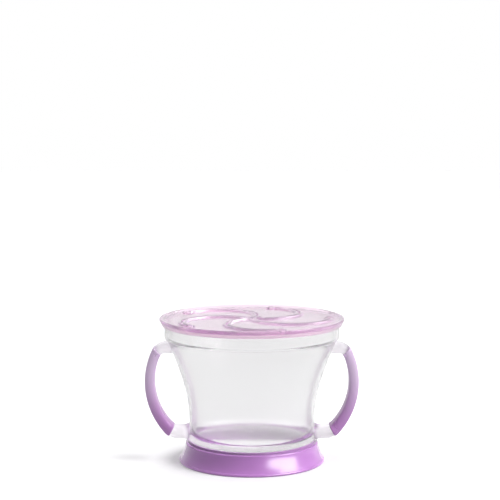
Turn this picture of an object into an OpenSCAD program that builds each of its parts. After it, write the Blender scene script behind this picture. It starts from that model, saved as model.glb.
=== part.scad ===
// Toddler snack container: a clear two-handled cup with a soft foot and soft grips,
// and a soft lid whose pinwheel of slits makes five flaps that a small hand pushes open.
// Millimetres. The cup stands on z = 0 at the origin, the handles lie along X, the front faces -Y.

/* [Cup] */
// How far the clear side stands in from the foot's top edge
side_step = 0.6; // [0.4:0.1:1.2]
// How strongly the side draws in above the foot: radius of the lower control point
side_waist_r = 32.6; // [31:0.2:35]
// Radius of the upper control point, where the side starts to open out
side_swell_r = 35.6; // [34:0.2:38]
// How far the side stands in from the collar, just under it
neck_step = 1.3; // [1.2:0.1:3]
// Height of the lower control point above the foot
waist_rise = 16; // [12:1:20]
// Distance of the upper control point below the collar
swell_drop = 26.5; // [20:0.5:32]
// Thickness of the side wall
wall = 2; // [1.6:0.1:2.4]
// Thickness of the cup's floor
floor_t = 2; // [1.5:0.1:3]
// Height of the floor's underside above the table
floor_z = 11.6; // [11:0.2:14]
// Radius of the inside corner between floor and side
corner_r = 5; // [3:0.5:8]

/* [Collar] */
// How far the collar that carries the lid stands in from the lid's brim
brim_overhang = 2.7; // [2.2:0.1:4]
// Height of the cup's rim; the collar, the lid and the handles' upper roots follow it
rim_z = 78; // [70:0.5:84]
// Height of the collar
collar_h = 9.5; // [8:0.5:12]
// Thickness of the collar
collar_t = 2; // [1.6:0.1:2.4]
// Radius of the collar's rounded lower edge
collar_edge_r = 1.2; // [0.6:0.1:1.2]
// How far the snap bead stands out of the collar
bead_h = 0.15; // [0.1:0.01:0.2]

/* [Foot] */
// Height of the soft foot's top edge
foot_h = 10.8; // [9:0.2:10.8]
// Outer radius of the foot at its top edge
foot_top_r = 36.6; // [35:0.1:38.5]
// How far the foot flares out between its top edge and its lip
foot_flare = 2.4; // [1.6:0.1:4]
// How far the lip that meets the table stands out of the foot
foot_lip_w = 1.2; // [0.8:0.1:2]
// Height of the lip
foot_lip_h = 1.7; // [1.2:0.1:2.4]
// Radius of the round opening under the foot
foot_hole_r = 25.7; // [20:0.5:29]
// Thickness of the foot's flange on the table
flange_t = 2.4; // [1.8:0.1:3]
// Thickness of the foot inside the cup's skirt
lining_t = 1.5; // [1:0.1:2]
// Thickness of the foot's top edge outside the cup's skirt, which the foot is moulded round
foot_wall = 1.6; // [1.2:0.1:2.2]
// Thickness of the skirt
skirt_t = 1.8; // [1.4:0.1:2.2]
// Height of the skirt's lower edge
skirt_z = 4; // [3.4:0.1:6]

/* [Handles] */
// Distance of the handle arc's centre from the cup's axis
arc_x = 18; // [16:0.5:20]
// Height of the handle arc's centre
arc_z = 44.5; // [43:0.5:46]
// Radius of the handle arc, along the middle of the bar
arc_r = 38.35; // [37:0.25:41]
// How far the upper root lies below the collar
top_root_drop = 5.1; // [4:0.1:7]
// Height of the lower root
low_root_z = 16.2; // [15.6:0.2:18]
// Radius of the upper bend
top_bend_r = 6; // [5:0.5:8]
// Radius of the lower bend
low_bend_r = 8; // [6:0.5:10]
// Thickness of the clear bar at the middle of the handle
bar_mid_t = 5; // [4.4:0.1:5.6]
// Width of the clear bar at the middle of the handle
bar_mid_w = 11; // [9:0.5:13]
// Thickness of the clear bar at its lower root
low_root_t = 6.2; // [5.4:0.1:7]
// Thickness of the clear bar at its upper root
top_root_t = 5.6; // [5:0.1:6.4]
// Width of the clear bar at both roots
root_w = 14.5; // [12:0.5:16]
// How much thinner and narrower the bar is inside the grip
core_step = 1.1; // [0.8:0.1:1.4]
// How far the grip stands proud of the clear bar
grip_proud = 0.2; // [0:0.05:0.5]
// Angle on the upper bend at which the grip ends
grip_top_a = 45; // [30:1:60]
// Angle on the lower bend at which the grip ends
grip_low_a = -62; // [-75:1:-48]

/* [Lid] */
// Outer radius of the lid's brim; the collar, the neck and the slits follow it
brim_r = 51; // [47:0.1:54]
// Height of the brim above the cup's rim
brim_rise = 2.2; // [1.9:0.1:3]
// Depth of the lid's skirt below the brim's top
lid_skirt_d = 4.1; // [3.8:0.1:6]
// Wall of the lid's skirt at its lower edge
lid_skirt_t = 1.1; // [0.8:0.1:1.4]
// Gap between the lid and the cup's collar
lid_gap = 0.3; // [0.2:0.05:0.4]
// Thickness of the lid's inner lip
plug_t = 1; // [0.8:0.1:1.2]
// Depth of the lid's inner lip below the skin
plug_d = 1.6; // [1:0.1:2]
// Thickness of the lid's skin
skin_t = 1.6; // [1.2:0.1:2]
// How far the skin's top lies above the cup's rim
skin_rise = 1; // [0.8:0.1:1.4]

/* [Flaps] */
// How far inside the lid's inner lip the five slits end
slit_margin = 2; // [1.5:0.1:4]
// Direction of the first slit's end, clockwise from +X as seen from above
slit_a = 69; // [0:1:71]
// Width of the slits
slit_gap = 0.5; // [0.4:0.05:0.7]
// Width of the welt on the inside of each slit's curve
welt_in_w = 2.7; // [2:0.1:3.2]
// Width of the welt on the outside of each slit's curve
welt_out_w = 1.8; // [1.4:0.1:2.4]
// Height of the welts above the skin
welt_h = 0.9; // [0.5:0.1:1.1]
// Radius of the round relief at the end of each slit
relief_r = 1.5; // [1.2:0.1:1.8]
// Radius of the small opening where the slits meet
star_r = 1.4; // [1:0.1:2]
// Gap between a flap's rounded hinge edge and the skin
hinge_gap = 0.3; // [0.2:0.05:0.4]

/* [Hidden] */
$fn = 96;
clear_pp = [0.90, 0.92, 0.94, 0.45];
grip_tpe = [0.71, 0.60, 0.80];
foot_tpe = [0.56, 0.40, 0.66];
lid_tpe = [0.86, 0.70, 0.88, 0.75];

collar_r = brim_r - brim_overhang;     // outer radius of the collar that carries the lid
side_neck_r = collar_r - neck_step;    // radius of the side just under the collar
collar_z = rim_z - collar_h;           // height of the collar's lower edge
top_root_z = collar_z - top_root_drop; // height of the handles' upper roots
side_foot_r = foot_top_r - side_step;  // radius of the side where it meets the foot
skirt_r = foot_top_r - foot_wall;      // outer radius of the cup's skirt
foot_r = foot_top_r + foot_flare;      // outer radius of the foot just above its lip
foot_lip_r = foot_r + foot_lip_w;
collar_in_r = collar_r - collar_t;
plug_r = collar_in_r - lid_gap;        // outside of the lid's inner lip
plug_in_r = plug_r - plug_t;
flap_n = 5;                            // the slits are a fivefold pinwheel
flap_a = 360 / flap_n;                 // angle from one slit to the next
half_a = flap_a / 2;                   // angle from a slit's end to its hinge line's middle
slit_end_r = plug_in_r - slit_margin;  // radius on which the five slits end
slit_r = slit_end_r / 2;               // each slit is half a circle from the middle to its end
hinge_x = slit_end_r * cos(half_a);    // distance of each hinge line from the middle
hinge_len = slit_end_r * sin(half_a);  // from the foot of the perpendicular to the slit's end
skin_top = rim_z + skin_rise;
skin_low = skin_top - skin_t;
hinge_z = skin_top - skin_t / 2;
welt_trim = 0.4;                       // how far a welt's crown reaches into the slit's own cut
corner_cut_r = 1;                      // cut at the flap's corner where the hinge line meets the slit
welt_lead = 3;                         // how far from its hinge line a flap's welt starts
skim = 0.02;                           // the cut that ends a welt stays this far above the skin
welt_tip_a = 4;                        // a flap's outer welt stops this far short of the middle
welt_split_a = flap_a + 1;             // where the outer welt passes from the flap to the skin
welt_part_a = 6;                       // half the angle by which it parts there
knuckle_end = 0.3;                     // the hinge knuckle stops this far short of the corner cut
knuckle_slack = 0.6;                   // and this much further from the relief
welt_end_a = asin((relief_r + welt_out_w + 0.1) / slit_r);  // where the skin's welt meets its round end
brim_top = rim_z + brim_rise;
skirt_low = brim_top - lid_skirt_d;
lid_in_r = collar_r + lid_gap;         // inside of the lid's skirt
brim_round = 0.8;                      // radius of the brim's rolled edge
brim_slant_a = 20;                     // slope of the skirt where it meets the rolled edge
bead_z = rim_z - 1.5;                  // height of the snap bead
bead_w = 1;                            // height of the bead's section
far = 200;                             // longer than any piece, for cutting
step_a = 15;                           // angle between the points of a rounded edge
side_n = 22;                           // straight steps along the cup's side
ring_n = 24;                           // points round a handle's section

// Points on an arc round c, from angle a to angle b.
function arc(c, r, a, b) =
    let (n = max(1, round(abs(b - a) / step_a)))
    [for (i = [0:n]) c + r * [cos(a + (b - a) * i / n), sin(a + (b - a) * i / n)]];

// The cup's side is one cubic curve through four control points, from the foot to the collar.
side_p = [[side_foot_r, foot_h + 0.2], [side_waist_r, foot_h + waist_rise],
          [side_swell_r, collar_z - swell_drop], [side_neck_r, collar_z]];
function side(t) = pow(1 - t, 3) * side_p[0] + 3 * t * pow(1 - t, 2) * side_p[1]
    + 3 * t * t * (1 - t) * side_p[2] + pow(t, 3) * side_p[3];
function side_way(t) = pow(1 - t, 2) * (side_p[1] - side_p[0])
    + 2 * t * (1 - t) * (side_p[2] - side_p[1]) + t * t * (side_p[3] - side_p[2]);
function side_in(t) = side(t) - wall * [side_way(t)[1], -side_way(t)[0]] / norm(side_way(t));
outer_side = [for (i = [0:side_n]) side(i / side_n)];
corner_z = floor_z + floor_t + corner_r;
inner_side = [for (i = [side_n:-1:0]) if (side_in(i / side_n)[1] > corner_z + 0.5) side_in(i / side_n)];
corner_x = inner_side[len(inner_side) - 1][0] - corner_r;

module cup_profile() {
    edge = collar_edge_r;
    top_out = 1;
    top_in = 0.8;
    polygon(concat(
        [[0, floor_z], [skirt_r - skirt_t, floor_z], [skirt_r - skirt_t, skirt_z],
         [skirt_r, skirt_z], [skirt_r, foot_h], [side_foot_r, foot_h]],
        outer_side,
        arc([collar_r - edge, collar_z + edge], edge, -90, 0),
        [[collar_r, bead_z - bead_w / 2], [collar_r + bead_h, bead_z - bead_h],
         [collar_r + bead_h, bead_z + bead_h], [collar_r, bead_z + bead_w / 2]],
        arc([collar_r - top_out, rim_z - top_out], top_out, 0, 90),
        arc([collar_in_r + top_in, rim_z - top_in], top_in, 90, 180),
        [[collar_in_r, collar_z + 2 * edge]],
        inner_side,
        arc([corner_x, corner_z], corner_r, 0, -90),
        [[0, floor_z + floor_t]]));
}

// The clear cup: floor, waisted side, collar with its snap bead, and the skirt inside the foot.
module cup_body() {
    color(clear_pp) rotate_extrude() cup_profile();
}

// Everything inside the cup's outer side, to trim the handles' roots to it.
module cup_fill() {
    rotate_extrude() polygon(concat([[0, foot_h]], outer_side, [[0, collar_z]]));
}

// The handle's line is two level roots, two bends and the big arc, each tangent to the next. A place
// on it is given by the angle a of its outward side: -90 at the lower root, 90 at the upper one.
function dir(a) = [cos(a), sin(a)];
arc_c = [arc_x, arc_z];
top_a = asin((top_root_z - top_bend_r - arc_z) / (arc_r - top_bend_r));
low_a = asin((low_root_z + low_bend_r - arc_z) / (arc_r - low_bend_r));
top_c = arc_c + (arc_r - top_bend_r) * dir(top_a);
low_c = arc_c + (arc_r - low_bend_r) * dir(low_a);
function place(a) = a < low_a ? low_c + low_bend_r * dir(a)
    : a < top_a ? arc_c + arc_r * dir(a) : top_c + top_bend_r * dir(a);

// The bar is thickest and widest at its roots and slims down towards the hand's middle.
function bar_t(a) = bar_mid_t + pow(sin(a), 2) * ((a < 0 ? low_root_t : top_root_t) - bar_mid_t);
function bar_w(a) = bar_mid_w + pow(sin(a), 2) * (root_w - bar_mid_w);

// One ring of points round the bar at angle a, grown on all sides and slid along X.
function ring(a, grow, slide = 0) =
    let (t = bar_t(a) + 2 * grow, w = bar_w(a) + 2 * grow)
    [for (i = [0:ring_n - 1])
        let (u = 360 * (i + 0.5) / ring_n, p = place(a) + dir(a) * cos(u) * t / 2)
        [p[0] + slide, sign(sin(u)) * (w - t) / 2 + sin(u) * t / 2, p[1]]];

// Angles of the rings that the grip covers; the second and the last but one end its rounded edges.
grip_edge_a = 5;
grip_rings = concat([grip_low_a], steps(grip_low_a + grip_edge_a, low_a, 2), steps(low_a, top_a, 14),
                    steps(top_a, grip_top_a - grip_edge_a, 2), [grip_top_a]);
function steps(a, b, n) = [for (i = [(a == low_a || a == top_a ? 1 : 0):n]) a + (b - a) * i / n];

// Triangles between ring j and ring k, counted in rings from the first point.
function between(j, k) = [for (i = [0:ring_n - 1]) let (n = (i + 1) % ring_n)
    each [[j * ring_n + i, k * ring_n + i, k * ring_n + n],
          [j * ring_n + i, k * ring_n + n, j * ring_n + n]]];

// A solid through a list of rings, closed by a flat face at both ends.
module sweep(rings) {
    n = len(rings);
    polyhedron(points = [for (r = rings) each r], faces = concat(
        [[for (i = [0:ring_n - 1]) i]],
        [for (j = [0:n - 2]) each between(j, j + 1)],
        [[for (i = [ring_n - 1:-1:0]) (n - 1) * ring_n + i]]));
}

// A tube through outer and inner rings, which are as many and lie at the same places.
module sweep_tube(outer, inner) {
    n = len(outer);
    loop = concat(outer, [for (j = [n - 1:-1:0]) inner[j]]);
    polyhedron(points = [for (r = loop) each r],
               faces = [for (j = [0:2 * n - 1]) each between(j, (j + 1) % (2 * n))]);
}

// The clear bar of one handle, trimmed to the cup's side: thinner inside the grip.
module handle() {
    depth = 14;
    low_rings = [for (i = [0:3]) -90 + (grip_low_a + 90) * i / 3];
    top_rings = [for (i = [0:4]) grip_top_a + (90 - grip_top_a) * i / 4];
    difference() {
        sweep(concat([ring(-90, 0, -depth)], [for (a = low_rings) ring(a, 0)],
            [for (a = grip_rings) ring(a, -core_step)],
            [for (a = top_rings) ring(a, 0)], [ring(90, 0, -depth)]));
        cup_fill();
    }
}

// The soft grip moulded round one handle's bar.
module grip() {
    last = len(grip_rings) - 1;
    sweep_tube([for (i = [0:last]) ring(grip_rings[i], i == 0 || i == last ? 0 : grip_proud)],
        [for (a = grip_rings) ring(a, -core_step)]);
}

module right_handle() { color(clear_pp) handle(); }
module left_handle() { color(clear_pp) rotate([0, 0, 180]) handle(); }
module right_grip() { color(grip_tpe) grip(); }
module left_grip() { color(grip_tpe) rotate([0, 0, 180]) grip(); }

// The soft foot: a flared wall with a lip, a flange on the table and a lining inside the skirt.
module base_ring() {
    top_round = 0.5;
    lip_round = foot_lip_h / 2;
    flange_round = flange_t / 2;
    line_r = skirt_r - skirt_t - lining_t;
    nook = 1.2;
    color(foot_tpe) rotate_extrude() polygon(concat(
        [[skirt_r, foot_h]],
        arc([foot_top_r - top_round, foot_h - top_round], top_round, 90, 0),
        [[foot_top_r + 0.15 * (foot_r - foot_top_r), 0.75 * foot_h],
         [foot_top_r + 0.5 * (foot_r - foot_top_r), 0.52 * foot_h],
         [foot_r, foot_lip_h + 0.9], [foot_r + 0.1, foot_lip_h]],
        arc([foot_lip_r - lip_round, lip_round], lip_round, 90, -90),
        arc([foot_hole_r + flange_round, flange_round], flange_round, -90, -270),
        arc([line_r - nook, flange_t + nook], nook, -90, 0),
        [[line_r, floor_z], [skirt_r - skirt_t, floor_z], [skirt_r - skirt_t, skirt_z],
         [skirt_r, skirt_z]]));
}

// Half of the lid's section: a thin skin, and a brim that grips the collar inside and out.
module lid_profile() {
    roof_z = rim_z + lid_gap;
    groove_r = lid_in_r + 0.2;
    dish_w = 1.6;
    polygon(concat(
        [[0, skin_low], [plug_in_r, skin_low]],
        arc([plug_r - plug_t / 2, skin_low - plug_d + plug_t / 2], plug_t / 2, 180, 360),
        [[plug_r, roof_z - 0.6], [plug_r + 0.6, roof_z], [groove_r, roof_z],
         [groove_r, bead_z - bead_w / 2], [lid_in_r, bead_z - bead_w / 2 - 0.2]],
        [[lid_in_r, skirt_low]],
        arc([lid_in_r + lid_skirt_t - 0.3, skirt_low + 0.3], 0.3, -90, 0),
        arc([brim_r - brim_round, brim_top - brim_round], brim_round, -brim_slant_a, 90),
        [[brim_r - brim_round - 1.2, brim_top - 0.25],
         [plug_r + dish_w, skin_top + 0.25], [plug_r, skin_top], [0, skin_top]]));
}

// Points of a welt's crown, from radius r + w back to radius r.
function crown(r, w) =
    let (crown_r = (w * w / 4 + welt_h * welt_h) / (2 * welt_h), crown_a = asin(w / 2 / crown_r))
    arc([r + w / 2, skin_top + welt_h - crown_r], crown_r, 90 - crown_a, 90 + crown_a);

// The raised welt between radius r and radius r + w, from angle a round to angle b.
module welt(r, w, a, b) {
    rotate([0, 0, a]) rotate_extrude(angle = b - a)
        polygon(concat([[r, hinge_z], [r + w, hinge_z]], crown(r, w)));
}

// Places its children at the centre of the slit on one side of a flap: -1 is the next one clockwise.
module at_slit(side) {
    rotate([0, 0, side * half_a]) translate([slit_r, 0, 0]) children();
}

// A flap drawn with its hinge line at x = hinge_x, from the slit behind it to the one before it.
// It starts as the disc inside the slit before it, with that slit's welt round its edge.
module flap_shape() {
    low = skin_low - 1;
    edge_r = slit_r - slit_gap / 2;
    difference() {
        union() {
            at_slit(-1) rotate_extrude() polygon(concat([[0, skin_low], [edge_r, skin_low]],
                crown(edge_r - welt_in_w, welt_in_w), [[0, skin_top]]));
            at_slit(1) welt(slit_r + slit_gap / 2 - welt_trim, welt_out_w + welt_trim,
                            welt_tip_a - 180, -welt_split_a - welt_part_a);
        }
        translate([hinge_x, -far / 2, low]) cube(far);
        translate([hinge_x - welt_lead, -far / 2, skin_top + skim]) cube(far);
        at_slit(1) translate([0, 0, low]) cylinder(r = slit_r + slit_gap / 2, h = far);
        translate([0, 0, low]) cylinder(r = star_r, h = far);
        translate([hinge_x, 0, low]) cylinder(r = corner_cut_r, h = far);
        translate([hinge_x, -hinge_len, low]) cylinder(r = relief_r, h = far);
    }
    translate([hinge_x, -corner_cut_r - knuckle_end, hinge_z]) rotate([90, 0, 0])
        cylinder(d = skin_t, h = hinge_len - relief_r - corner_cut_r - knuckle_end - knuckle_slack);
}

// Turns its children from the flap's drawing position to flap k's place on the lid.
module at_flap(k) {
    rotate([0, 0, -slit_a - half_a - flap_a * (k - 1)]) children();
}

module flap(k) { color(lid_tpe) at_flap(k) flap_shape(); }
module flap_1() { flap(1); }
module flap_2() { flap(2); }
module flap_3() { flap(3); }
module flap_4() { flap(4); }
module flap_5() { flap(5); }

// The lid without its flaps: the brim, the skin outside the flaps and the outer ends of the welts.
module lid_rim() {
    low = skin_low - plug_d - 1;
    edge_x = hinge_x + skin_t / 2 + hinge_gap;
    color(lid_tpe) difference() {
        union() {
            rotate_extrude() lid_profile();
            for (k = [1:flap_n]) at_flap(k) {
                at_slit(1) welt(slit_r + slit_gap / 2 - welt_trim, welt_out_w + welt_trim,
                                -welt_split_a + welt_part_a, -welt_end_a);
                translate([hinge_x, -hinge_len, 0])
                    welt(relief_r - welt_trim, welt_out_w + welt_trim, 0, 360);
            }
        }
        for (k = [1:flap_n]) at_flap(k) {
            intersection() {
                at_slit(-1) translate([0, 0, low]) cylinder(r = slit_r + slit_gap / 2, h = far);
                translate([edge_x - far, -far / 2, low]) cube(far);
            }
            translate([hinge_x, -hinge_len, low]) cylinder(r = relief_r, h = far);
        }
    }
}

cup_body();
left_handle();
right_handle();
left_grip();
right_grip();
base_ring();
lid_rim();
flap_1();
flap_2();
flap_3();
flap_4();
flap_5();
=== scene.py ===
# Looks of the toddler snack container: a clear two-handled cup, its soft foot and grips, and the
# soft lid with its pinwheel of slits. Lengths are in metres; MM turns millimetres into them.
import math

import bpy
from mathutils import Matrix, Vector


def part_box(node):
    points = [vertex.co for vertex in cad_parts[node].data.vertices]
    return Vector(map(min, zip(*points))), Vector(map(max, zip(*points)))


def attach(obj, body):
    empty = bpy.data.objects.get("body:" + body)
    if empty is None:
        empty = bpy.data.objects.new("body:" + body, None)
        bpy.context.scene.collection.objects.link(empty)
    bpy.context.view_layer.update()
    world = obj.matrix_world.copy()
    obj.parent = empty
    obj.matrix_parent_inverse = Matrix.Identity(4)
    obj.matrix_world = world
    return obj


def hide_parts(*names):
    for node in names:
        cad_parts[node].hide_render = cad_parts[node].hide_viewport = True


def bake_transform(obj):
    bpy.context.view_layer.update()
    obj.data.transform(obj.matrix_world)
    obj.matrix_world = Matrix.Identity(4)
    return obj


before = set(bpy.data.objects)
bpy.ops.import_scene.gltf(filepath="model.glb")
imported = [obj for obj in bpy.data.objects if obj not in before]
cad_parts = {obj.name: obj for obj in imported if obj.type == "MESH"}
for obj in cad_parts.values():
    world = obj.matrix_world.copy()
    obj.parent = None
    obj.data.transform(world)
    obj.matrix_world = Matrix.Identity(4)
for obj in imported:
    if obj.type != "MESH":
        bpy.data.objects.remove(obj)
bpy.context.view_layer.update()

MM = 0.001
FINE = 1e-6  # corners nearer than this are one

# ---------------------------------------------------------------- sizes, as the frame has them
foot_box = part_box("base_ring")
rim_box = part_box("lid_rim")
cup_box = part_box("cup_body")

# Cup
FLOOR_Z = 11.6 * MM
FLOOR_T = 2 * MM
WALL = 2 * MM
INSIDE_Z = FLOOR_Z + FLOOR_T
CORNER_R = 5 * MM
CORNER_STEP = 0.3 * MM  # the least height between the wall's last point and the corner's round
SKIRT_R = 35 * MM
SKIRT_T = 1.8 * MM
SKIRT_Z = 4 * MM
SKIRT_EDGE = 0.4 * MM
SIDE_R = 36 * MM
SIDE_EDGE = 0.2 * MM
SIDE_N = 48
WAIST = (32.6 * MM, 26.8 * MM)  # the side is one curve; this and the next are its control points
SWELL = (35.6 * MM, 42 * MM)
NECK_R = 47 * MM
COLLAR_Z = 68.5 * MM
COLLAR_R = 48.3 * MM
COLLAR_T = 2 * MM
COLLAR_EDGE = 1.2 * MM
COLLAR_IN = COLLAR_R - COLLAR_T
LEDGE_R = 1.6 * MM  # the round on the inside, where the collar steps in to the side
LEDGE_Z = COLLAR_Z + 2.4 * MM
RIM_Z = cup_box[1].z
RIM_EDGE = 1 * MM
RIM_EDGE_IN = 0.8 * MM
BEAD_Z = RIM_Z - 1.5 * MM
BEAD_H = 0.15 * MM
BEAD_W = 1 * MM
WELD = 0.5 * MM  # how deep in the cup's side the bars end
CUP_N = 160  # steps round the cup and the foot
CUP_SEAM_A = 0.7  # turns the cup's seam away from the bars' middle, where joining would fail

# Foot
FOOT_H = 10.8 * MM
BITE = 0.05 * MM  # how far moulded-on pieces reach into the clear plastic, so that no air shows
FOOT_TOP_R = 36.6 * MM
FOOT_R = 39 * MM
FOOT_LIP_R = foot_box[1].x
FOOT_LIP_H = 1.7 * MM
HOLE_R = 25.7 * MM
FLANGE_T = 2.4 * MM
FOOT_EDGE = 0.5 * MM
LINING_R = 31.7 * MM
LINING_FILLET = 1.2 * MM
FOOT_SIDE = (  # control points of its outside, from the top down
    (FOOT_TOP_R + 0.02 * MM, FOOT_H - 0.9 * MM),
    (FOOT_TOP_R + 0.4 * MM, 0.66 * FOOT_H),
    (FOOT_R - 0.9 * MM, 0.4 * FOOT_H),
    (FOOT_R, FOOT_LIP_H + 0.9 * MM),
)

# Handles: two level roots, two bends and one big arc, placed by the angle of the outward side
ARC_C = (18 * MM, 44.5 * MM)
ARC_R = 38.35 * MM
TOP_ROOT_Z = 63.4 * MM
LOW_ROOT_Z = 16.2 * MM
TOP_BEND_R = 6 * MM
LOW_BEND_R = 8 * MM
BAR_MID = (5 * MM, 11 * MM)  # thickness and width at the middle of the handle
BAR_TOP = (5.6 * MM, 14.5 * MM)
BAR_LOW = (6.2 * MM, 14.5 * MM)
BAR_N = 40  # corners round the bar
CORE_STEP = 1.1 * MM  # how much thinner each side of the bar is inside the grip
ROOT_L = 1.5 * MM  # the level root, before it flares into the cup's side
ROOT_FLARE = ((-3.4, 0), (-4.4, 0.15), (-5.4, 0.45), (-6.4, 0.8), (-9, 0.8))  # mm: slide and growth
GRIP_PROUD = 0.2 * MM
GRIP_LOW_A = -62
GRIP_TOP_A = 45
GRIP_END = (  # degrees in from each end of the grip, and growth there
    (0, -CORE_STEP - 0.2 * MM),
    (0.4, -0.3 * MM),
    (1.6, 0),
    (3.4, GRIP_PROUD * 0.7),
    (5.5, GRIP_PROUD),
)
GRIP_END_A = 8  # how far in from its ends the grip is of one size
CORE_PAST_A = 6  # how far the form that hollows the grip reaches past its ends

# Lid
BRIM_R = rim_box[1].x
BRIM_TOP = rim_box[1].z
SKIRT_LOW = BRIM_TOP - 4.1 * MM
LID_SKIRT_T = 1.1 * MM
LID_GAP = 0.3 * MM
LID_IN = COLLAR_R + LID_GAP
LID_ROOF_Z = RIM_Z + LID_GAP
LID_EDGE = 0.3 * MM
GROOVE_D = 0.2 * MM
PLUG_R = 46 * MM  # the plug is the inner lip that goes into the collar
PLUG_T = 1 * MM
PLUG_D = 1.6 * MM
PLUG_EDGE = 0.6 * MM
SKIN_T = 1.6 * MM
SKIN_TOP = RIM_Z + 1 * MM
SKIN_LOW = SKIN_TOP - SKIN_T
SKIN_MID = (SKIN_TOP + SKIN_LOW) / 2
SKIN_R = PLUG_R - PLUG_T  # where the skin meets the brim, over the inside of the inner lip
SKIN_N = 300
BRIM_ROUND = 0.8 * MM
BRIM_N = 200
BRIM_DIP = (  # control points of the lid's top, from the brim's round in to the skin
    (BRIM_R - BRIM_ROUND - 0.6 * MM, BRIM_TOP - 0.03 * MM),
    (BRIM_R - BRIM_ROUND - 1.6 * MM, BRIM_TOP - 0.1 * MM),
    (PLUG_R + 1.8 * MM, SKIN_TOP + 0.05 * MM),
    (PLUG_R + 0.2 * MM, SKIN_TOP),
)

# Flaps
FLAP_N = 5
FLAP_A = 360 / FLAP_N
HALF_A = FLAP_A / 2
SLIT_END_R = 43 * MM
SLIT_R = SLIT_END_R / 2
SLIT_A = 69  # direction of the first slit's end, clockwise from +X
SLIT_GAP = 0.5 * MM
SLIT_IN = SLIT_R - SLIT_GAP / 2
SLIT_OUT = SLIT_R + SLIT_GAP / 2
SLIT_N = 144
WELT_IN = 2.7 * MM
WELT_OUT = 1.8 * MM
WELT_H = 0.9 * MM
WELT_OVER = 0.4 * MM  # how far a welt reaches over an edge that is cut later, or into its end ring
WELT_N = 90
RELIEF_R = 1.5 * MM
RELIEF_N = 40
# how far before the slit's end its welts run into the end ring, in degrees round the slit's centre
WELT_END_A = math.degrees(math.asin((RELIEF_R + WELT_OUT - WELT_OVER) / SLIT_R))
END_RING_N = 48
STAR_R = 1.4 * MM
STAR_N = 32
CUT_LOW = SKIN_LOW - 4 * MM
CUT_HIGH = SKIN_TOP + 4 * MM
CUT_MORE = 1 * MM  # a cutter is this much taller than what it cuts
HINGE_X = SLIT_END_R * math.cos(math.radians(HALF_A))
HINGE_HALF = SLIT_END_R * math.sin(math.radians(HALF_A))
SLIT_ENDS = [(HINGE_X, side * HINGE_HALF) for side in (-1, 1)]  # of the slits beside a flap


# ---------------------------------------------------------------- outlines
def arc(centre, radius, start, end, steps=8):
    """Points (r, z) on an arc round centre, from start to end in degrees."""
    turn = [math.radians(start + (end - start) * i / steps) for i in range(steps + 1)]
    return [
        (centre[0] + radius * math.cos(t), centre[1] + radius * math.sin(t))
        for t in turn
    ]


def cubic(a, b, c, d, steps):
    """Points on the cubic curve with those four control points."""
    points = []
    for i in range(steps + 1):
        t = i / steps
        k = ((1 - t) ** 3, 3 * t * (1 - t) ** 2, 3 * t * t * (1 - t), t**3)
        points.append(tuple(sum(w * p[n] for w, p in zip(k, (a, b, c, d))) for n in (0, 1)))
    return points


def evenly(a, b, n):
    """Values from a to b in n equal steps."""
    return [a + (b - a) * i / n for i in range(n + 1)]


def offset(points, distance):
    """The same run of points moved sideways by distance, towards the left of its way."""
    moved = []
    for i, p in enumerate(points):
        a, b = points[max(i - 1, 0)], points[min(i + 1, len(points) - 1)]
        way = Vector((b[0] - a[0], b[1] - a[1])).normalized()
        moved.append((p[0] - way.y * distance, p[1] + way.x * distance))
    return moved


# ---------------------------------------------------------------- modelling by operators
def deselect():
    """Back to object mode with nothing selected, and ready to pick corners in edit mode."""
    if bpy.context.mode != "OBJECT":
        bpy.ops.object.mode_set(mode="OBJECT")
    bpy.ops.object.select_all(action="DESELECT")
    bpy.context.tool_settings.mesh_select_mode = (True, False, False)


def named(name):
    """The object that was just made, with its name on it and on its mesh."""
    piece = bpy.context.object
    piece.name = piece.data.name = name
    return piece


def activate(piece):
    deselect()
    piece.select_set(True)
    bpy.context.view_layer.objects.active = piece


def pick_corners(piece, wanted):
    """Opens piece in edit mode with just the corners selected whose place is wanted."""
    activate(piece)
    bpy.ops.object.mode_set(mode="EDIT")
    bpy.ops.mesh.select_all(action="DESELECT")
    bpy.ops.object.mode_set(mode="OBJECT")
    for corner in piece.data.vertices:
        corner.select = wanted(corner.co)
    bpy.ops.object.mode_set(mode="EDIT")


def lathe(name, outline, steps, centre=(0, 0), start=0, turn=360):
    """Spins an outline of (r, z) points round a vertical axis through centre.
    An outline that starts and ends on the axis, or ends where it starts, makes a closed solid."""
    deselect()
    bpy.ops.mesh.primitive_plane_add(size=MM)
    piece = named(name)
    bpy.ops.object.mode_set(mode="EDIT")
    bpy.ops.mesh.merge(type="CENTER")
    way = Vector((math.cos(math.radians(start)), math.sin(math.radians(start)), 0))
    up = Vector((0, 0, 1))
    hub = Vector((*centre, 0))
    places = [hub + way * r + up * z for r, z in outline]
    bpy.ops.transform.translate(value=places[0])
    for here, there in zip(places, places[1:]):
        bpy.ops.mesh.extrude_vertices_move(
            TRANSFORM_OT_translate={"value": there - here}
        )
    bpy.ops.mesh.select_all(action="SELECT")
    bpy.ops.mesh.spin(
        steps=steps, angle=-math.radians(turn), center=hub, axis=(0, 0, 1)
    )
    bpy.ops.mesh.select_all(action="SELECT")
    bpy.ops.mesh.remove_doubles(threshold=FINE)
    if turn < 360:
        bpy.ops.mesh.select_all(action="DESELECT")
        bpy.ops.mesh.select_non_manifold()
        bpy.ops.mesh.edge_face_add()
        bpy.ops.mesh.select_all(action="SELECT")
    bpy.ops.mesh.normals_make_consistent(inside=False)
    bpy.ops.object.mode_set(mode="OBJECT")
    return piece


def cutter_disc(name, radius, centre, low, high, steps):
    """An upright cylinder between two heights."""
    deselect()
    bpy.ops.mesh.primitive_cylinder_add(
        vertices=steps,
        radius=radius,
        depth=high - low,
        location=(centre[0], centre[1], (low + high) / 2),
    )
    piece = named(name)
    bpy.ops.object.transform_apply()
    return piece


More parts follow.
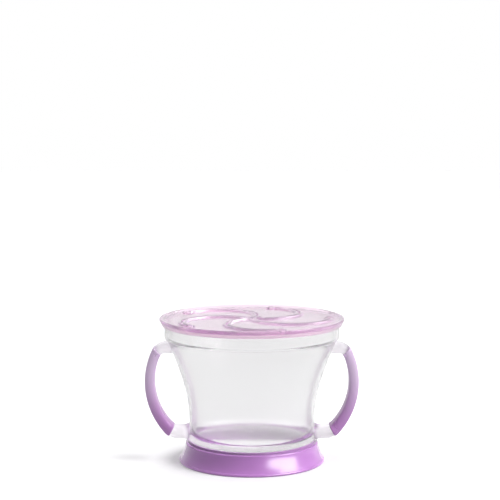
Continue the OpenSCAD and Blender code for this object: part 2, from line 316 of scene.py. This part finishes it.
def combine(piece, other, how):
    """Joins other to piece or cuts it away, and removes other. Each keeps its materials."""
    modifier = piece.modifiers.new(how.lower(), "BOOLEAN")
    modifier.operation = how
    modifier.object = other
    modifier.solver = "EXACT"
    modifier.material_mode = "TRANSFER"
    activate(piece)
    bpy.ops.object.modifier_apply(modifier=modifier.name)
    bpy.data.objects.remove(other)
    return piece


def copy_turned(piece, name, degrees):
    """A copy with its own mesh, turned about the cup's axis."""
    other = piece.copy()
    other.data = piece.data.copy()
    other.name = other.data.name = name
    bpy.context.scene.collection.objects.link(other)
    activate(other)
    other.matrix_world = Matrix.Rotation(math.radians(degrees), 4, "Z") @ other.matrix_world
    bpy.ops.object.transform_apply()
    return other


def finish_surface(piece, material=None, sharp=35):
    """Joins corners that meet and smooths the shading; a piece without materials gets this one."""
    activate(piece)
    bpy.ops.object.mode_set(mode="EDIT")
    bpy.ops.mesh.select_all(action="SELECT")
    bpy.ops.mesh.remove_doubles(threshold=FINE)
    bpy.ops.object.mode_set(mode="OBJECT")
    bpy.ops.object.shade_smooth_by_angle(angle=math.radians(sharp))
    if material:
        piece.data.materials.clear()
        piece.data.materials.append(material)
    return piece


# ---------------------------------------------------------------- materials
def colour(r, g, b):
    """A colour written as the 0 to 255 values that it renders as."""
    def lin(v):
        v /= 255
        return v / 12.92 if v <= 0.04045 else ((v + 0.055) / 1.055) ** 2.4
    return (lin(r), lin(g), lin(b), 1)


def maths(tree, operation, a, b):
    """A Math node on two sockets or numbers."""
    node = tree.nodes.new("ShaderNodeMath")
    node.operation = operation
    for socket, value in zip(node.inputs, (a, b)):
        if isinstance(value, (int, float)):
            socket.default_value = value
        else:
            tree.links.new(value, socket)
    return node.outputs[0]


def rise(tree, value, start, end, interpolation="LINEAR"):
    """A mask that goes from 0 to 1 as the value goes from start to end."""
    node = tree.nodes.new("ShaderNodeMapRange")
    node.interpolation_type = interpolation
    node.inputs["From Min"].default_value = start
    node.inputs["From Max"].default_value = end
    tree.links.new(value, node.inputs["Value"])
    return node.outputs["Result"]


def moulded_surface_group():
    """The faint unevenness of a moulded surface: a roughness that wanders and a low ripple."""
    group = bpy.data.node_groups.new("moulded_surface", "ShaderNodeTree")
    face = group.interface
    face.new_socket("Roughness", in_out="INPUT", socket_type="NodeSocketFloat")
    face.new_socket("Spread", in_out="INPUT", socket_type="NodeSocketFloat")
    face.new_socket("Ripple Scale", in_out="INPUT", socket_type="NodeSocketFloat")
    face.new_socket("Roughness", in_out="OUTPUT", socket_type="NodeSocketFloat")
    face.new_socket("Ripple", in_out="OUTPUT", socket_type="NodeSocketFloat")
    nodes, links = group.nodes, group.links
    given = nodes.new("NodeGroupInput")
    out = nodes.new("NodeGroupOutput")
    place = nodes.new("ShaderNodeTexCoord")
    cloud = nodes.new("ShaderNodeTexNoise")
    cloud.inputs["Scale"].default_value = 60
    cloud.inputs["Detail"].default_value = 3
    links.new(place.outputs["Object"], cloud.inputs["Vector"])
    wander = maths(group, "MULTIPLY", cloud.outputs["Fac"], given.outputs["Spread"])
    total = maths(group, "ADD", given.outputs["Roughness"], wander)
    links.new(total, out.inputs["Roughness"])
    ripple = nodes.new("ShaderNodeTexNoise")
    ripple.inputs["Detail"].default_value = 2
    links.new(place.outputs["Object"], ripple.inputs["Vector"])
    links.new(given.outputs["Ripple Scale"], ripple.inputs["Scale"])
    links.new(ripple.outputs["Fac"], out.inputs["Ripple"])
    return group


SURFACE = moulded_surface_group()
ROUGHNESS_SPREAD = 0.08
RIPPLE_H = 0.02 * MM


def moulded_material(name, base, roughness, ripple_scale):
    """A material with the moulded surface, and its shader to set the rest on."""
    material = bpy.data.materials.new(name)
    material.use_nodes = True
    nodes, links = material.node_tree.nodes, material.node_tree.links
    shader = nodes["Principled BSDF"]
    shader.inputs["Base Color"].default_value = base
    moulding = nodes.new("ShaderNodeGroup")
    moulding.node_tree = SURFACE
    moulding.inputs["Roughness"].default_value = roughness
    moulding.inputs["Spread"].default_value = ROUGHNESS_SPREAD
    moulding.inputs["Ripple Scale"].default_value = ripple_scale
    links.new(moulding.outputs["Roughness"], shader.inputs["Roughness"])
    bump = nodes.new("ShaderNodeBump")
    bump.inputs["Strength"].default_value = 1
    bump.inputs["Distance"].default_value = RIPPLE_H
    links.new(moulding.outputs["Ripple"], bump.inputs["Height"])
    links.new(bump.outputs["Normal"], shader.inputs["Normal"])
    return material, shader


def clear_moulding(name, base, roughness):
    """Clear hard plastic."""
    material, shader = moulded_material(name, base, roughness, ripple_scale=45)
    shader.inputs["Transmission Weight"].default_value = 0.94
    shader.inputs["IOR"].default_value = 1.3
    return material


def tinted_rubber(name, base, roughness, clear, tint, density, coat=0):
    """Soft tinted rubber that lets a share of the light through, and deepens where it is thick."""
    material, shader = moulded_material(name, base, roughness, ripple_scale=70)
    shader.inputs["Transmission Weight"].default_value = clear
    shader.inputs["IOR"].default_value = 1.48
    shader.inputs["Coat Weight"].default_value = coat
    shader.inputs["Coat Roughness"].default_value = 0.2
    nodes, links = material.node_tree.nodes, material.node_tree.links
    depth = nodes.new("ShaderNodeVolumeAbsorption")
    depth.inputs["Color"].default_value = tint
    depth.inputs["Density"].default_value = density
    links.new(depth.outputs["Volume"], nodes["Material Output"].inputs["Volume"])
    return material


def paint_low_end_shade(material, deep, pale, low, high):
    """Paints shade on the material: deep at the height low, rising to pale at the height high, for
    the darker look of the grips' translucent rubber low down.
    """
    tree = material.node_tree
    place = tree.nodes.new("ShaderNodeTexCoord")
    parts = tree.nodes.new("ShaderNodeSeparateXYZ")
    tree.links.new(place.outputs["Object"], parts.inputs[0])
    shade = tree.nodes.new("ShaderNodeMix")
    shade.data_type = "RGBA"
    mask = rise(tree, parts.outputs["Z"], low, high, "SMOOTHSTEP")
    tree.links.new(mask, shade.inputs["Factor"])
    shade.inputs["A"].default_value = deep
    shade.inputs["B"].default_value = pale
    shader = tree.nodes["Principled BSDF"]
    tree.links.new(shade.outputs["Result"], shader.inputs["Base Color"])


clear_plastic = clear_moulding("clear_plastic", colour(246, 246, 246), roughness=0.1)
frosted_plastic = clear_moulding("frosted_plastic", colour(240, 236, 241), roughness=0.34)
GRIP_PALE = colour(234, 210, 241)
# the deep grip colour is painted shade for the grips' low ends; the pale one is their own colour
GRIP_PAINTED_SHADE = colour(194, 138, 204)
soft_grip = tinted_rubber(
    "soft_grip", GRIP_PALE, roughness=0.24, clear=0.25, tint=(0.6, 0.25, 0.7, 1), density=120
)
# painted shade: the grips darken towards their low ends
paint_low_end_shade(soft_grip, GRIP_PAINTED_SHADE, GRIP_PALE, low=18 * MM, high=54 * MM)
soft_foot = tinted_rubber(
    "soft_foot",
    colour(182, 120, 195),
    roughness=0.2,
    clear=0.32,
    tint=(0.5, 0.15, 0.6, 1),
    density=150,
    coat=0.4,
)
soft_skin = tinted_rubber(
    "soft_skin",
    colour(254, 237, 248),
    roughness=0.12,
    clear=0.95,
    tint=(0.66, 0.25, 0.78, 1),
    density=14,
)


# ---------------------------------------------------------------- the clear cup and its bars
def step(centre, radius, angle):
    """The point at that distance from centre, angle degrees up from straight outward."""
    t = math.radians(angle)
    return (centre[0] + radius * math.cos(t), centre[1] + radius * math.sin(t))


def on_handle(a):
    """The handle line's point (x, z) where its outward side faces the angle a."""
    top_a = math.degrees(math.asin((TOP_ROOT_Z - TOP_BEND_R - ARC_C[1]) / (ARC_R - TOP_BEND_R)))
    low_a = math.degrees(math.asin((LOW_ROOT_Z + LOW_BEND_R - ARC_C[1]) / (ARC_R - LOW_BEND_R)))
    if a > top_a:
        return step(step(ARC_C, ARC_R - TOP_BEND_R, top_a), TOP_BEND_R, a)
    if a < low_a:
        return step(step(ARC_C, ARC_R - LOW_BEND_R, low_a), LOW_BEND_R, a)
    return step(ARC_C, ARC_R, a)


def bar_size(a):
    """Thickness and width of the bar at the angle a."""
    end = BAR_LOW if a < 0 else BAR_TOP
    k = math.sin(math.radians(a)) ** 2
    return [m + k * (e - m) for m, e in zip(BAR_MID, end)]


def ring_at(a, slide, grow):
    """Place, thickness and width of a ring at the angle a, moved outward and grown all round."""
    x, z = on_handle(a)
    t, w = bar_size(a)
    return Vector((x + slide, 0, z)), t + 2 * grow, w + 2 * grow


def turn_ring(degrees, place):
    """Turns the selected ring so that its outward side climbs by that many degrees."""
    bpy.ops.transform.rotate(
        value=math.radians(degrees), orient_axis="Y", center_override=place
    )


def sweep(name, stations):
    """A bar through stations (angle, slide, grow): one ring is extruded from each to the next."""
    place, t, w = ring_at(*stations[0])
    deselect()
    bpy.ops.mesh.primitive_circle_add(vertices=BAR_N, radius=t / 2, fill_type="NOTHING")
    piece = named(name)
    bpy.ops.object.transform_apply()
    for side in (1, -1):
        pick_corners(piece, lambda co: co.y * side > FINE)
        bpy.ops.transform.translate(value=(0, side * (w - t) / 2, 0))
        bpy.ops.object.mode_set(mode="OBJECT")
    bpy.ops.object.mode_set(mode="EDIT")
    bpy.ops.mesh.select_mode(type="EDGE")
    bpy.ops.mesh.select_all(action="SELECT")
    bpy.ops.transform.translate(value=place)
    angle = stations[0][0]
    turn_ring(angle, place)
    for station in stations[1:]:
        new_place, new_t, new_w = ring_at(*station)
        bpy.ops.mesh.extrude_region_move()
        turn_ring(-angle, place)
        bpy.ops.transform.resize(value=(new_t / t, new_w / w, 1), center_override=place)
        bpy.ops.transform.translate(value=new_place - place)
        place, t, w, angle = new_place, new_t, new_w, station[0]
        turn_ring(angle, place)
    bpy.ops.mesh.select_all(action="SELECT")
    bpy.ops.mesh.fill_holes(sides=0)
    bpy.ops.mesh.select_all(action="SELECT")
    bpy.ops.mesh.normals_make_consistent(inside=False)
    bpy.ops.object.mode_set(mode="OBJECT")
    return piece


def root_flare(a, shift):
    """Stations for a root's flare into the cup's side, which slopes and so shifts it by mm."""
    return [(a, (slide + shift) * MM, grow * MM) for slide, grow in ROOT_FLARE]


def make_cup():
    """The whole clear moulding: the turned cup with both bars joined to its side."""
    side = cubic((SIDE_R, FOOT_H + SIDE_EDGE), WAIST, SWELL, (NECK_R, COLLAR_Z), SIDE_N)
    inner = [p for p in offset(side, WALL) if p[1] > INSIDE_Z + CORNER_R + CORNER_STEP]
    inner.reverse()
    corner = (inner[-1][0] - CORNER_R, INSIDE_Z + CORNER_R)
    skirt_in = SKIRT_R - SKIRT_T
    outline = (
        [(0, FLOOR_Z), (skirt_in - SKIRT_EDGE, FLOOR_Z), (skirt_in, FLOOR_Z - SKIRT_EDGE)]
        + [(skirt_in, SKIRT_Z), (SKIRT_R, SKIRT_Z), (SKIRT_R, FOOT_H)]
        + [(SIDE_R - SIDE_EDGE, FOOT_H)]
        + side
        + arc((COLLAR_R - COLLAR_EDGE, COLLAR_Z + COLLAR_EDGE), COLLAR_EDGE, -90, 0)
        + arc((COLLAR_R, BEAD_Z), BEAD_H, -90, 90, 6)
        + arc((COLLAR_R - RIM_EDGE, RIM_Z - RIM_EDGE), RIM_EDGE, 0, 90)
        + arc((COLLAR_IN + RIM_EDGE_IN, RIM_Z - RIM_EDGE_IN), RIM_EDGE_IN, 90, 180)
        + arc((COLLAR_IN - LEDGE_R, LEDGE_Z), LEDGE_R, 0, -50, 5)
        + inner[1:]
        + arc(corner, CORNER_R, 0, -90, 10)
        + [(0, INSIDE_Z)]
    )
    cup = lathe("cup_shell", outline, start=CUP_SEAM_A, steps=CUP_N)
    core = [GRIP_LOW_A + 0.5] + evenly(GRIP_LOW_A + 4, GRIP_TOP_A - 0.5, 22)
    stations = (
        list(reversed(root_flare(-90, shift=0.6)))
        + [(-90, -ROOT_L, 0)]
        + [(a, 0, 0) for a in evenly(-90, GRIP_LOW_A, 6)]
        + [(a, 0, -CORE_STEP) for a in core]
        + [(a, 0, 0) for a in evenly(GRIP_TOP_A, 90, 10)]
        + [(90, -ROOT_L, 0)]
        + root_flare(90, shift=-0.2)
    )
    cup.data.materials.append(clear_plastic)
    bar = sweep("right_bar", stations)
    bar.data.materials.append(frosted_plastic)
    other = copy_turned(bar, "left_bar", 180)
    within = [(0, FOOT_H)] + [(r - WELD, z) for r, z in [(SIDE_R, FOOT_H)] + side[1:]]
    inside = lathe("inside_of_cup", within + [(0, COLLAR_Z)], start=CUP_SEAM_A, steps=CUP_N)
    inside.data.materials.append(clear_plastic)
    spare = copy_turned(inside, "inside_again", 0)
    combine(bar, inside, "DIFFERENCE")
    combine(other, spare, "DIFFERENCE")
    combine(cup, bar, "UNION")
    combine(cup, other, "UNION")
    return cup


cup = finish_surface(make_cup(), sharp=40)
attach(cup, "cup")
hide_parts("cup_body", "left_handle", "right_handle")
cup.visible_shadow = cup.visible_diffuse = False  # light falls through it


# ---------------------------------------------------------------- the soft grips
def make_grip():
    """The right grip: a sleeve with rounded ends round the bar's core."""
    low = [(GRIP_LOW_A + a, 0, grow) for a, grow in GRIP_END]
    top = [(GRIP_TOP_A - a, 0, grow) for a, grow in reversed(GRIP_END)]
    reach = evenly(GRIP_LOW_A + GRIP_END_A, GRIP_TOP_A - GRIP_END_A, 44)
    middle = [(a, 0, GRIP_PROUD) for a in reach]
    grip = sweep("right_grip_skin", low + middle + top)
    reach = evenly(GRIP_LOW_A - CORE_PAST_A, GRIP_TOP_A + CORE_PAST_A, 48)
    core = sweep("core", [(a, 0, -CORE_STEP - BITE) for a in reach])
    return combine(grip, core, "DIFFERENCE")


right_grip = finish_surface(make_grip(), soft_grip, 60)
left_grip = copy_turned(right_grip, "left_grip_skin", 180)
for grip, node in ((right_grip, "right_grip"), (left_grip, "left_grip")):
    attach(grip, "cup")
    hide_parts(node)


# ---------------------------------------------------------------- the soft foot
def make_foot():
    """The foot: a flared ring with a lip, a flange under the cup and a lining in its skirt."""
    lip = FOOT_LIP_H / 2
    flange = FLANGE_T / 2
    skirt_in = SKIRT_R - SKIRT_T + BITE
    outline = (
        [(SKIRT_R - BITE, FOOT_H + BITE), (SIDE_R, FOOT_H + BITE)]
        + arc((FOOT_TOP_R - FOOT_EDGE, FOOT_H - FOOT_EDGE), FOOT_EDGE, 90, 0, 6)
        + cubic(*FOOT_SIDE, 14)
        + arc((FOOT_LIP_R - lip, lip), lip, 80, -90, 10)
        + arc((HOLE_R + flange, flange), flange, -90, -270, 12)
        + arc((LINING_R - LINING_FILLET, FLANGE_T + LINING_FILLET), LINING_FILLET, -90, 0, 5)
        + [(LINING_R, FLOOR_Z + BITE), (skirt_in, FLOOR_Z + BITE), (skirt_in, SKIRT_Z + BITE)]
        + [(SKIRT_R - BITE, SKIRT_Z + BITE), (SKIRT_R - BITE, FOOT_H + BITE)]
    )
    return lathe("foot_skin", outline, steps=CUP_N)


foot = finish_surface(make_foot(), soft_foot)
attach(foot, "cup")
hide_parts("base_ring")


# ---------------------------------------------------------------- the soft lid
def at_slit(side):
    """Centre of the slit on one side of a flap that is drawn with its hinge line across +X."""
    t = math.radians(side * HALF_A)
    return (SLIT_R * math.cos(t), SLIT_R * math.sin(t))


def flap_turn(k):
    """How far flap k is turned from its drawing position, in degrees."""
    return -SLIT_A - HALF_A - FLAP_A * (k - 1)


def crown(inner_r, outer_r):
    """A welt's rounded top, from its outer radius in to its inner one."""
    half = (outer_r - inner_r) / 2
    radius = (half * half + WELT_H * WELT_H) / (2 * WELT_H)
    reach = math.degrees(math.asin(half / radius))
    return arc((inner_r + half, SKIN_TOP + WELT_H - radius), radius, 90 - reach, 90 + reach, 12)


def welt(name, centre, inner_r, outer_r, start=0, turn=360, steps=WELT_N):
    """A raised welt round centre, rooted in the middle of the skin."""
    foot_line = [(inner_r, SKIN_MID), (outer_r, SKIN_MID)]
    outline = foot_line + crown(inner_r, outer_r) + foot_line[:1]
    return lathe(name, outline, steps, centre, start, turn)


def make_fifth():
    """An upright block with the outline of one fifth of the skin: a wedge, with the disc inside
    the slit before it and without the disc inside the slit behind it."""
    block = cutter_disc("fifth", SKIN_R, (0, 0), CUT_LOW, CUT_HIGH, SKIN_N)
    for side in (-1, 1):
        t = math.radians(side * HALF_A)
        activate(block)
        bpy.ops.object.mode_set(mode="EDIT")
        bpy.ops.mesh.select_all(action="SELECT")
        bpy.ops.mesh.bisect(
            plane_co=(0, 0, 0),
            plane_no=(-side * math.sin(t), side * math.cos(t), 0),
            use_fill=True,
            clear_outer=True,
        )
        bpy.ops.object.mode_set(mode="OBJECT")
    before = cutter_disc("before", SLIT_IN, at_slit(-1), CUT_LOW, CUT_HIGH, SLIT_N)
    combine(block, before, "UNION")
    low, high = CUT_LOW - CUT_MORE, CUT_HIGH + CUT_MORE
    combine(block, cutter_disc("behind", SLIT_OUT, at_slit(1), low, high, SLIT_N), "DIFFERENCE")
    combine(block, cutter_disc("star", STAR_R, (0, 0), low, high, STAR_N), "DIFFERENCE")
    for end in SLIT_ENDS:
        combine(block, cutter_disc("relief", RELIEF_R, end, low, high, RELIEF_N), "DIFFERENCE")
    return block


def make_flap():
    """A flap with its hinge line across +X, and the skin from there out to the brim."""
    disc = [(0, SKIN_LOW), (SKIN_R, SKIN_LOW), (SKIN_R, SKIN_TOP), (0, SKIN_TOP)]
    flap = lathe("flap_skin", disc, steps=SKIN_N)
    turn = 180 - WELT_END_A
    inner = (SLIT_IN - WELT_IN, SLIT_IN)
    outer = (SLIT_OUT - WELT_OVER, SLIT_OUT + WELT_OUT)
    ring = (RELIEF_R - WELT_OVER, RELIEF_R + WELT_OUT)
    shapes = [
        welt("inner_welt", at_slit(-1), *inner, start=-HALF_A - 180, turn=turn),
        welt("outer_welt", at_slit(1), *outer, start=HALF_A - 180, turn=turn),
    ]
    for i, end in enumerate(SLIT_ENDS):
        shapes.append(welt(f"end_ring_{i}", end, *ring, steps=END_RING_N))
    for shape in shapes:
        combine(flap, shape, "UNION")
    return combine(flap, make_fifth(), "INTERSECT")


def make_brim():
    """The lid's brim with its skirt, groove and inner lip, round the skin."""
    groove = LID_IN + GROOVE_D
    bead_low = BEAD_Z - BEAD_W / 2
    edge = (LID_IN + LID_SKIRT_T - LID_EDGE, SKIRT_LOW + LID_EDGE)
    outline = (
        [(SKIN_R, SKIN_TOP), (SKIN_R, SKIN_LOW)]
        + arc((PLUG_R - PLUG_T / 2, SKIN_LOW - PLUG_D + PLUG_T / 2), PLUG_T / 2, 180, 360, 8)
        + [(PLUG_R, LID_ROOF_Z - PLUG_EDGE), (PLUG_R + PLUG_EDGE, LID_ROOF_Z)]
        + [(groove, LID_ROOF_Z), (groove, bead_low), (LID_IN, bead_low - GROOVE_D)]
        + [(LID_IN, SKIRT_LOW)]
        + arc(edge, LID_EDGE, -90, 0, 4)
        + arc((BRIM_R - BRIM_ROUND, BRIM_TOP - BRIM_ROUND), BRIM_ROUND, -20, 90, 10)
        + cubic(*BRIM_DIP, 10)
        + [(SKIN_R, SKIN_TOP)]
    )
    return lathe("lid_brim", outline, steps=BRIM_N)


brim = finish_surface(make_brim(), soft_skin, 40)
brim.visible_shadow = brim.visible_diffuse = False  # as with the cup
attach(brim, "lid")
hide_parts("lid_rim")

pattern = finish_surface(make_flap(), soft_skin, 40)
pattern.visible_shadow = pattern.visible_diffuse = False
for k in range(1, FLAP_N + 1):
    flap = copy_turned(pattern, f"flap_skin_{k}", flap_turn(k))
    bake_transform(flap)
    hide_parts(f"flap_{k}")
bpy.data.objects.remove(pattern)


# ---------------------------------------------------------------- floor, light and camera
def seen_rays(tree):
    """Two masks: rays straight from the camera, and rays by way of gloss or clear plastic."""
    path = tree.nodes.new("ShaderNodeLightPath").outputs
    through = maths(tree, "MAXIMUM", path["Is Glossy Ray"], path["Is Transmission Ray"])
    return path["Is Camera Ray"], through


def by_distance(tree, start, end):
    """A mask that goes from 0 to 1 between two distances from the middle of the floor."""
    place = tree.nodes.new("ShaderNodeTexCoord")
    distance = tree.nodes.new("ShaderNodeVectorMath")
    distance.operation = "LENGTH"
    tree.links.new(place.outputs["Object"], distance.inputs[0])
    return rise(tree, distance.outputs["Value"], start, end)


WHITE = (1, 1, 1, 1)
FLOOR_SIZE = 6
LIFT_NEAR = 0.16  # what the floor adds to its own light where its shadow is to show
LIFT_FAR = 0.6  # what it adds where it is plain white
SHADOW_REACH = (48 * MM, 105 * MM)  # between these distances near turns to far
LIFT_THROUGH = 0.27  # what it adds as seen through the clear plastic
LIFT_UNDER = 0.5  # and what it adds there under the cup
CUP_REACH = (80 * MM, 50 * MM)  # between these distances through turns to under
ROOM_LIGHT = 0.38


def make_floor():
    """A pale floor that is white to the camera and in the clear pieces, and keeps its shadow."""
    deselect()
    bpy.ops.mesh.primitive_plane_add(size=FLOOR_SIZE)
    floor = named("floor")
    material = bpy.data.materials.new("pale_floor")
    material.use_nodes = True
    tree = material.node_tree
    shader = tree.nodes["Principled BSDF"]
    shader.inputs["Base Color"].default_value = (0.82, 0.82, 0.83, 1)
    shader.inputs["Roughness"].default_value = 0.6
    shader.inputs["Specular IOR Level"].default_value = 0.2
    lift = tree.nodes.new("ShaderNodeEmission")
    lift.inputs["Color"].default_value = WHITE
    camera, through = seen_rays(tree)
    far = maths(tree, "MULTIPLY", by_distance(tree, *SHADOW_REACH), LIFT_FAR - LIFT_NEAR)
    under = maths(tree, "MULTIPLY", by_distance(tree, *CUP_REACH), LIFT_UNDER - LIFT_THROUGH)
    plain = maths(tree, "MULTIPLY", camera, maths(tree, "ADD", LIFT_NEAR, far))
    clear = maths(tree, "MULTIPLY", through, maths(tree, "ADD", LIFT_THROUGH, under))
    tree.links.new(maths(tree, "ADD", plain, clear), lift.inputs["Strength"])
    both = tree.nodes.new("ShaderNodeAddShader")
    tree.links.new(shader.outputs[0], both.inputs[0])
    tree.links.new(lift.outputs[0], both.inputs[1])
    tree.links.new(both.outputs[0], tree.nodes["Material Output"].inputs["Surface"])
    floor.data.materials.append(material)


def make_room():
    """A white room to the camera and in the clear pieces, which itself lights softly."""
    world = bpy.data.worlds.new("studio")
    bpy.context.scene.world = world
    world.use_nodes = True
    tree = world.node_tree
    backdrop = tree.nodes["Background"]
    backdrop.inputs["Color"].default_value = WHITE
    backdrop.inputs["Strength"].default_value = 1
    room = tree.nodes.new("ShaderNodeBackground")
    room.inputs["Color"].default_value = WHITE
    room.inputs["Strength"].default_value = ROOM_LIGHT
    mix = tree.nodes.new("ShaderNodeMixShader")
    tree.links.new(maths(tree, "MAXIMUM", *seen_rays(tree)), mix.inputs["Fac"])
    tree.links.new(room.outputs[0], mix.inputs[1])
    tree.links.new(backdrop.outputs[0], mix.inputs[2])
    tree.links.new(mix.outputs[0], tree.nodes["World Output"].inputs["Surface"])


AIM_Z = 40 * MM


def area_light(name, azimuth, elevation, distance, size, power):
    """A soft panel aimed at the cup, azimuth degrees round from the camera towards the right."""
    a, e = math.radians(azimuth), math.radians(elevation)
    aim = Vector((0, 0, AIM_Z))
    way = Vector((math.sin(a) * math.cos(e), -math.cos(a) * math.cos(e), math.sin(e)))
    place = aim + distance * way
    data = bpy.data.lights.new(name, "AREA")
    data.shape = "RECTANGLE"
    data.size, data.size_y = size
    data.energy = power
    light = bpy.data.objects.new(name, data)
    bpy.context.scene.collection.objects.link(light)
    light.location = place
    light.rotation_mode = "QUATERNION"
    light.rotation_quaternion = (aim - place).to_track_quat("-Z", "Y")
    return light


CAMERA_PLACE = (-0.001, -0.8325, 0.2059)
CAMERA_PITCH = 6.07  # how far it looks down, in degrees
LENS = 109.87
SENSOR = 36


def make_camera():
    """The camera, at the photograph's viewing angle and framing."""
    data = bpy.data.cameras.new("camera")
    data.lens = LENS
    data.sensor_width = SENSOR
    camera = bpy.data.objects.new("camera", data)
    bpy.context.scene.collection.objects.link(camera)
    camera.location = CAMERA_PLACE
    camera.rotation_euler = (math.radians(90 - CAMERA_PITCH), 0, 0)
    bpy.context.scene.camera = camera


make_floor()
make_room()
area_light("key", azimuth=74, elevation=42, distance=1.1, size=(0.7, 0.5), power=10.5)
area_light("top", azimuth=10, elevation=80, distance=1.0, size=(0.8, 0.8), power=1.5)
# The last panel makes the foot's broad highlight, and nothing else.
gloss = area_light("gloss", azimuth=54, elevation=16, distance=1.1, size=(1.05, 0.5), power=19)
gloss.visible_diffuse = gloss.visible_transmission = False
glossy_pieces = bpy.data.collections.new("glossy_pieces")
glossy_pieces.objects.link(foot)
gloss.light_linking.receiver_collection = glossy_pieces
make_camera()
bpy.context.scene.view_settings.view_transform = "Standard"
BOUNCES = 48  # fewer leave dark lines where the clear walls are seen edge on
cycles = bpy.context.scene.cycles
cycles.max_bounces = cycles.transmission_bounces = cycles.glossy_bounces = BOUNCES
